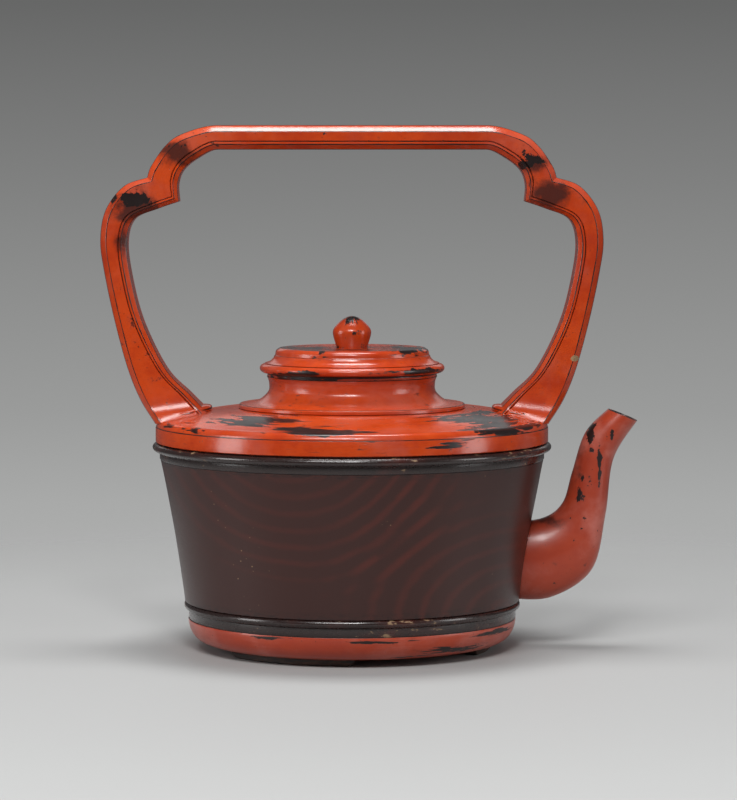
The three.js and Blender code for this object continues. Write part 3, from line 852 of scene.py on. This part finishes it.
def make_knob():
    radius, _, top = ring_size("lid_knob")
    jewel = bow([(radius * r, lid_top + (top - lid_top) * h) for r, h in JEWEL], 30)
    tenon = [(TENON_R, lid_top - TENON_DEPTH), (TENON_R, lid_top)]
    outline = [(0, lid_top - TENON_DEPTH), *tenon, *jewel[:-1], (0, top)]
    mesh = turned_mesh("lid_jewel_knob", outline)
    add_red("lid_jewel_knob", RED_LID, mesh, "lid_knob", body="lid")


make_knob()

# %% [markdown]
# ## Handle
# The handle looks like one flat bar that bends through two lobes on each side and spreads where it
# meets the shoulder. Its section has a broad face, a wide outer chamfer, a fine groove and a narrow
# inner chamfer. A bevelled curve could carry it, but its taper would thin the depth with the width.
# So the section is carried along pairs of points, one on the outer edge and one on the inner edge.

# %% Edges of the handle
BAR_LOW, BAR_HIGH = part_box("handle_top_bar")
HANDLE_TOP = BAR_HIGH.z / MM
BAR_END = (BAR_HIGH.x - BAR_LOW.x) / 2 / MM
BAR_UNDER = BAR_LOW.z / MM
HALF_DEPTH = (BAR_HIGH.y - BAR_LOW.y) / 2 / MM

GRIP_EDGES = (
    [(-BAR_END, HANDLE_TOP), (BAR_END, HANDLE_TOP)],
    [(-BAR_END, BAR_UNDER), (BAR_END, BAR_UNDER)],
)
LOBE_EDGES = (
    [(BAR_END, HANDLE_TOP), (107.7, 329.6), (118.6, 321.9), (127.6, 309.1), (130.2, 301.8)],
    [(BAR_END, BAR_UNDER), (98.1, 314.2), (107.4, 306.6), (110.8, 297.5), (110.2, 286.6)],
)
LEG_EDGES = (
    [(130.2, 301.8), (145.1, 296.3), (156.8, 281), (160.2, 261.8), (157.7, 241.3), (151.3, 210.6),
     (143, 179.8), (134.6, 159.4), (125.2, 145.4)],
    [(110.2, 286.6), (124, 281.9), (138.6, 275.5), (143.4, 262), (141.5, 241.3), (133.8, 210.6),
     (118.8, 179.8), (103.7, 164), (91.5, 151.6)],
)
print("grip", round(2 * BAR_END), "mm long; legs drawn through", len(LEG_EDGES[0]), "pairs of points")

# %% Section of the handle
OUTER_CHAMFER = 4.0
INNER_CHAMFER = 3.2
FLARE_TOP_Z = 176
TOE_TOP_Z = 157


def handle_section(width):
    """Points round the bar as (across from the outer edge, depth, rubbed edge or painted shade), with lengths
    in mm.
    """
    front_y = -HALF_DEPTH
    inner = width - INNER_CHAMFER
    # Rubbed edges carry values near 1; the bottom of the groove carries 1 as well, which paints a dark line
    # of shade in the groove.
    front = [
        (0, front_y + 5.0, 0.9), (0.9, front_y + 3.6, 0), (OUTER_CHAMFER - 0.9, front_y + 0.9, 0),
        (OUTER_CHAMFER, front_y, 0.95), (OUTER_CHAMFER + 1.1, front_y, 0), (inner - 2.6, front_y, 0),
        (inner - 1.9, front_y + 0.8, 1), (inner - 1.2, front_y, 0), (inner, front_y, 1),
        (inner + 0.9, front_y + 0.9, 0), (width - 0.9, front_y + 2.6, 0), (width, front_y + 3.4, 1),
        (width, front_y + 4.6, 0),
    ]
    back = [(across, -deep, worn) for across, deep, worn in reversed(front)]
    return [*front, *back, (0, HALF_DEPTH - 5.2, 0), (0, front_y + 5.2, 0)]


def flare(z):
    """How many times as deep as the grip the legs are at a height; only their feet are deeper."""
    return 1 + 0.28 * max(0, (FLARE_TOP_Z - z) / 26) ** 2 + 0.3 * max(0, (TOE_TOP_Z - z) / 10) ** 2


def handle_mesh(name, edges, side, count, level=False):
    """Carries the section along two edges; a level start runs on from the straight grip."""
    leads = [(2 * run[0][0] - run[1][0], run[1][1]) if level else None for run in edges]
    outer, inner = (bow(run, count, lead) for run, lead in zip(edges, leads))
    verts, wear = [], []
    for (ox, oz), (ix, iz) in zip(outer, inner):
        width = math.hypot(ix - ox, iz - oz)
        for across, deep, worn in handle_section(width):
            share = across / width
            x, z = ox + (ix - ox) * share, oz + (iz - oz) * share
            verts.append((AXIS_X + side * x * MM, deep * flare(z) * MM, z * MM))
            wear.append(worn)
    return tube_mesh(name, verts, count + 1, wear)


print("section of", len(handle_section(20)), "points;", round(flare(150), 2), "times as deep at 150 mm")

# %% Grip, lobes and legs
SIDES = ((-1, "left"), (1, "right"))

add_red("handle_grip", RED_HANDLE, handle_mesh("handle_grip", GRIP_EDGES, 1, 24), "handle_top_bar")
for side, word in SIDES:
    lobe = handle_mesh(f"handle_lobe_{word}", LOBE_EDGES, side, 48, level=True)
    add_red(f"handle_lobe_{word}", RED_HANDLE, lobe, f"handle_corner_{word}")
    leg = handle_mesh(f"handle_post_{word}", LEG_EDGES, side, 96)
    add_red(f"handle_post_{word}", RED_HANDLE, leg, f"handle_leg_{word}")

# %% [markdown]
# ## Spout
# The spout is hollow and bent. The CAD model has it in two halves, because such a bore can hardly be
# carved in one piece, but the photograph shows no seam. There could be two fine halves as well, but
# one closed skin over both keeps the lacquer whole. Rounded rings run between its back and front
# edges from the wall to the slanted mouth, then turn in over the lip and down the bore.

# %% Spout
SPOUT_LOW, SPOUT_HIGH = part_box("spout_half_front")
SPOUT_REACH = (SPOUT_HIGH.x - AXIS_X) / MM - WALL_FOOT_R
SPOUT_FOOT_Z = SPOUT_LOW.z / MM
SPOUT_RISE = SPOUT_HIGH.z / MM - SPOUT_FOOT_Z
RING_SIDES = 48
SPOUT_STEPS = 72
BORE_STEPS = 16
FOOT_HALF_DEPTH = 17.2
DEPTH_TAPER = 5.2
SPOUT_BACK = [(-0.1, 0.41), (0.2, 0.43), (0.37, 0.51), (0.45, 0.67), (0.56, 0.875), (0.755, 1)]
SPOUT_FRONT = [(-0.1, 0.01), (0.27, 0.015), (0.62, 0.16), (0.735, 0.45), (0.8, 0.74), (1, 0.94)]


def spout_edge(shares):
    """An edge of the spout's side view, from shares of its reach and rise."""
    points = [(WALL_FOOT_R + SPOUT_REACH * reach, SPOUT_FOOT_Z + SPOUT_RISE * rise) for reach, rise in shares]
    return bow(points, SPOUT_STEPS)


def spout_rings():
    """Rings as (step along the spout, scale, wear): the outside, the lip and the bore."""
    outside = [(i, 1.0, 0.0) for i in range(SPOUT_STEPS)]
    lip = [(SPOUT_STEPS, 1.0, 1.0), (SPOUT_STEPS, 0.86, 0.6), (SPOUT_STEPS, 0.72, 1.0)]
    return [*outside, *lip, *[(SPOUT_STEPS - 2 * i, 0.68, 0.0) for i in range(1, BORE_STEPS)]]


def make_spout():
    back, front, rings = spout_edge(SPOUT_BACK), spout_edge(SPOUT_FRONT), spout_rings()
    verts, wear = [], []
    for i, scale, worn in rings:
        (bx, bz), (fx, fz) = back[i], front[i]
        depth = FOOT_HALF_DEPTH - DEPTH_TAPER * i / SPOUT_STEPS
        for n in range(RING_SIDES):
            turn = 2 * math.pi * n / RING_SIDES
            across = math.cos(turn) * scale
            x = (bx + fx) / 2 + (fx - bx) / 2 * across
            z = (bz + fz) / 2 + (fz - bz) / 2 * across
            verts.append((AXIS_X + x * MM, -depth * math.sin(turn) * scale * MM, z * MM))
            wear.append(worn)
    mesh = tube_mesh("spout_carved", verts, len(rings), wear)
    add_red("spout_carved", RED_SPOUT, mesh, "spout_half_front", "spout_half_back")


make_spout()

# %% [markdown]
# ## Feet
# Three bracket feet stand evenly round the base; the photograph shows one whole. Their ends slant,
# and their undersides are chipped. Each could be modelled by itself. As they repeat by a rule, one
# foot is shaped in Python, and Geometry Nodes turn copies of it about the axis, with their number and
# the axis as named inputs.

# %% One foot
FOOT_R = 89.0
FOOT_WIDTH = 13.0
FOOT_SPAN = 60.0
FOOT_FIRST = -148.5
FOOT_STEPS = 40
FOOT_TOP_Z = base_z - 0.02
CHIP_SEED = 7
CHIP_DEPTH = 0.5
CHIP_LEAST = 0.4


def foot_mesh():
    """A bent bracket with slanted ends and a chipped underside."""
    chip = random.Random(CHIP_SEED)
    verts = []
    for i in range(FOOT_STEPS + 1):
        share = i / FOOT_STEPS
        lift = max(0.0, 1 - min(share, 1 - share) * 16) ** 2 * base_z * 0.6
        lift += CHIP_DEPTH * chip.random() * (0.1 < share < 0.9) * (chip.random() > 0.7)
        low = lift if share in (0, 1) or lift > CHIP_LEAST else 0.0
        angle = math.radians(FOOT_FIRST + FOOT_SPAN * share)
        section = [
            (FOOT_R - 0.8, low), (FOOT_R, low + 0.6), (FOOT_R + 0.6, FOOT_TOP_Z),
            (FOOT_R - FOOT_WIDTH, FOOT_TOP_Z), (FOOT_R - FOOT_WIDTH + 0.5, low),
        ]
        for radius, z in section:
            verts.append((radius * math.cos(angle) * MM, radius * math.sin(angle) * MM, z * MM))
    return tube_mesh("foot_bracket", verts, FOOT_STEPS + 1)


print("a foot spans", FOOT_SPAN, "degrees and is", round(base_z, 1), "mm high")

# %% Copies about the axis
FOOT_COUNT = 3


def feet_tree():
    """Turns copies of the foot about the axis, as many as asked for."""
    tree = bpy.data.node_groups.new("feet_round_axis", "GeometryNodeTree")
    face = tree.interface
    face.new_socket("Geometry", in_out="INPUT", socket_type="NodeSocketGeometry")
    count = face.new_socket("Feet", in_out="INPUT", socket_type="NodeSocketInt")
    offset = face.new_socket("Axis X", in_out="INPUT", socket_type="NodeSocketFloat")
    face.new_socket("Geometry", in_out="OUTPUT", socket_type="NodeSocketGeometry")
    work = Nodes(tree)
    entry = work.node("NodeGroupInput").outputs
    where = work.node("ShaderNodeCombineXYZ", {}, {"X": entry["Axis X"]}).outputs[0]
    points = work.node("GeometryNodePoints", {}, {"Count": entry["Feet"], "Position": where})
    index = work.node("GeometryNodeInputIndex").outputs[0]
    share = work.node("ShaderNodeMath", {"operation": "DIVIDE"}, {0: index, 1: entry["Feet"]}).outputs[0]
    angle = work.node("ShaderNodeMath", {"operation": "MULTIPLY"}, {0: share, 1: 2 * math.pi}).outputs[0]
    spin = work.node("ShaderNodeCombineXYZ", {}, {"Z": angle}).outputs[0]
    inputs = {"Points": points.outputs[0], "Instance": entry["Geometry"], "Rotation": spin}
    copies = work.node("GeometryNodeInstanceOnPoints", {}, inputs).outputs[0]
    real = work.node("GeometryNodeRealizeInstances", {}, {0: copies}).outputs[0]
    lacquered = work.node("GeometryNodeSetMaterial", {}, {"Geometry": real, "Material": FOOT})
    work.node("NodeGroupOutput", {}, {"Geometry": lacquered.outputs[0]})
    return tree, count.identifier, offset.identifier


def make_feet():
    seed = bpy.data.objects.new("foot_seed", foot_mesh())
    bpy.context.scene.collection.objects.link(seed)
    tree, count, offset = feet_tree()
    modifier = seed.modifiers.new("feet", "NODES")
    modifier.node_group = tree
    modifier[count] = FOOT_COUNT
    modifier[offset] = AXIS_X
    bpy.context.view_layer.update()
    evaluated = seed.evaluated_get(bpy.context.evaluated_depsgraph_get())
    mesh = bpy.data.meshes.new_from_object(evaluated)
    mesh.materials.clear()
    bpy.data.objects.remove(seed)
    add_piece("bracket_feet", "ewer", "worn_wood", FOOT, mesh, "foot_1", "foot_2", "foot_3")


make_feet()

# %% [markdown]
# ## Pads under the legs
# Each leg stands on a thin pad that makes it seem to grow out of the dome. The CAD pad is a flat plan
# cut to the dome's curve, with sharp edges, and a Bevel modifier could round a copy of it. Here layers
# of a rounded outline are lifted from the dome by heights of their own, which draws the soft rim.

# %% Pads
PAD_HALF_LENGTH = 16.5
PAD_HALF_WIDTH = 23.5
PAD_EDGE_IN = 3
PAD_SIDES = 64
PAD_ROUNDNESS = 0.7
PAD_LAYERS = [(1.0, 0.2, 0), (1.0, 1.6, 1), (0.985, 2.4, 0), (0.94, 3.2, 0), (0.8, 3.9, 0), (0.4, 4.2, 0)]


def make_pad(side, word):
    """A thin cushion with rounded corners that follows the dome under a leg."""
    middle = board_r - PAD_EDGE_IN - PAD_HALF_LENGTH
    verts, wear = [], []
    for scale, lift, worn in PAD_LAYERS:
        for i in range(PAD_SIDES):
            turn = 2 * math.pi * i / PAD_SIDES
            c, s = math.cos(turn), math.sin(turn)
            along = scale * math.copysign(abs(c) ** PAD_ROUNDNESS, c)
            aside = scale * math.copysign(abs(s) ** PAD_ROUNDNESS, s) * (0.86 + 0.14 * c)
            x, y = middle + PAD_HALF_LENGTH * along, PAD_HALF_WIDTH * aside
            z = dome_height(math.hypot(x, y)) + lift
            verts.append((AXIS_X + side * x * MM, y * MM, z * MM))
            wear.append(worn)
    mesh = tube_mesh(f"leg_pad_{word}", verts, len(PAD_LAYERS), wear)
    add_red(f"leg_pad_{word}", RED_DOME, mesh, f"handle_pad_{word}")


for side, word in SIDES:
    make_pad(side, word)

# %% [markdown]
# ## Floor
# The photograph's paper runs from a pale floor to a mid grey above, with no line between them. A
# curved sheet could do that, but its shading would change with every light. Here the floor is flat,
# and it turns transparent with the distance from the ewer.

# %% Floor
FLOOR_GREY = (0.40, 0.403, 0.40, 1)
FLOOR_HALF_SIZE = 4
FLOOR_FADE = (0.24, 1.0)


def make_floor():
    paint = Paint("floor_paper")
    radius = paint.distance((0, 0, 0), (1, 1, 1))
    paint.surface({
        "Base Color": FLOOR_GREY,
        "Alpha": 1 - radius.step(*FLOOR_FADE),
        "Roughness": 0.6,
        "Specular IOR Level": 0.2,
    })
    corners = [(x * FLOOR_HALF_SIZE, y * FLOOR_HALF_SIZE, 0) for x, y in ((-1, -1), (1, -1), (1, 1), (-1, 1))]
    mesh = bpy.data.meshes.new("floor")
    mesh.from_pydata(corners, [], [[0, 1, 2, 3]])
    mesh.materials.append(paint.material)
    floor = bpy.data.objects.new("floor", mesh)
    bpy.context.scene.collection.objects.link(floor)
    print("floor", 2 * FLOOR_HALF_SIZE, "m wide")


make_floor()

# %% [markdown]
# ## Backdrop
# Behind the ewer the paper darkens upwards. An upright sheet could show that, but it would also be
# mirrored in the lacquer. So the world shows the camera a grey for each height, and every other ray a
# plain dim grey, which keeps the reds deep.

# %% Greys of the backdrop
LOWEST, HIGHEST = -0.175, 0.045
BACKDROP_GREYS = [
    (LOWEST, 0.73), (-0.150, 0.66), (-0.137, 0.55), (-0.125, 0.465), (-0.073, 0.325), (-0.007, 0.215),
    (HIGHEST, 0.135),
]
STUDIO_GREY = (0.09, 0.09, 0.093, 1)


def make_backdrop():
    """A grey for each height of the camera's ray, and a plain one for every other ray."""
    world = bpy.data.worlds.new("studio")
    world.use_nodes = True
    bpy.context.scene.world = world
    sky = Nodes(world.node_tree)
    direction = sky.node("ShaderNodeTexCoord").outputs["Generated"]
    height = sky.node("ShaderNodeSeparateXYZ", {}, {0: direction}).outputs[2]
    inputs = {"Value": height, "From Min": LOWEST, "From Max": HIGHEST}
    share = sky.node("ShaderNodeMapRange", {}, inputs).outputs[0]
    stops = [((z - LOWEST) / (HIGHEST - LOWEST), grey) for z, grey in BACKDROP_GREYS]
    grey = sky.node("ShaderNodeValToRGB", {"stops": stops}, {0: share}).outputs[0]
    seen = sky.node("ShaderNodeLightPath").outputs["Is Camera Ray"]
    choice = sky.node("ShaderNodeMix", {"data_type": "RGBA"}, {0: seen, 6: STUDIO_GREY, 7: grey})
    sky.feed(world.node_tree.nodes["Background"].inputs["Color"], choice.outputs[2])
    print("backdrop of", len(stops), "greys")


make_backdrop()

# %% [markdown]
# ## Light
# The highlights in the photograph are broad and soft. A picture of a studio could light the ewer, but
# each of six soft panels can be aimed and dimmed by itself. The key in front and above shapes the
# vessel, one overhead draws the bright line on rims and hoops, a faint one behind lies on the dome, a
# strip in front marks the knob, and one on each side lights the chamfers of the handle.

# %% Soft lights
LIGHT_AIM = Vector((0, 0, 0.15))
LIGHTS = [
    ("key_front", (-0.35, -1.7, 1.7), (1.1, 0.6), 31),
    ("top", (0.0, 0.1, 1.8), (0.75, 0.55), 24),
    ("back_panel", (0.0, 1.9, 0.8), (1.8, 0.4), 1.3),
    ("front_strip", (0.0, -1.3, 1.25), (0.22, 0.5), 7),
    ("left_side", (-1.6, -0.5, 0.45), (0.5, 1.0), 10),
    ("right_side", (1.6, -0.5, 0.45), (0.5, 1.0), 8),
]


def area_light(name, place, size, energy):
    data = bpy.data.lights.new(name, "AREA")
    data.shape = "RECTANGLE"
    data.size, data.size_y = size
    data.energy = energy
    lamp = bpy.data.objects.new(name, data)
    bpy.context.scene.collection.objects.link(lamp)
    lamp.location = place
    lamp.rotation_euler = (LIGHT_AIM - Vector(place)).to_track_quat("-Z", "Y").to_euler()
    lamp.visible_camera = False


for light in LIGHTS:
    area_light(*light)
print("lights:", len(bpy.data.lights))
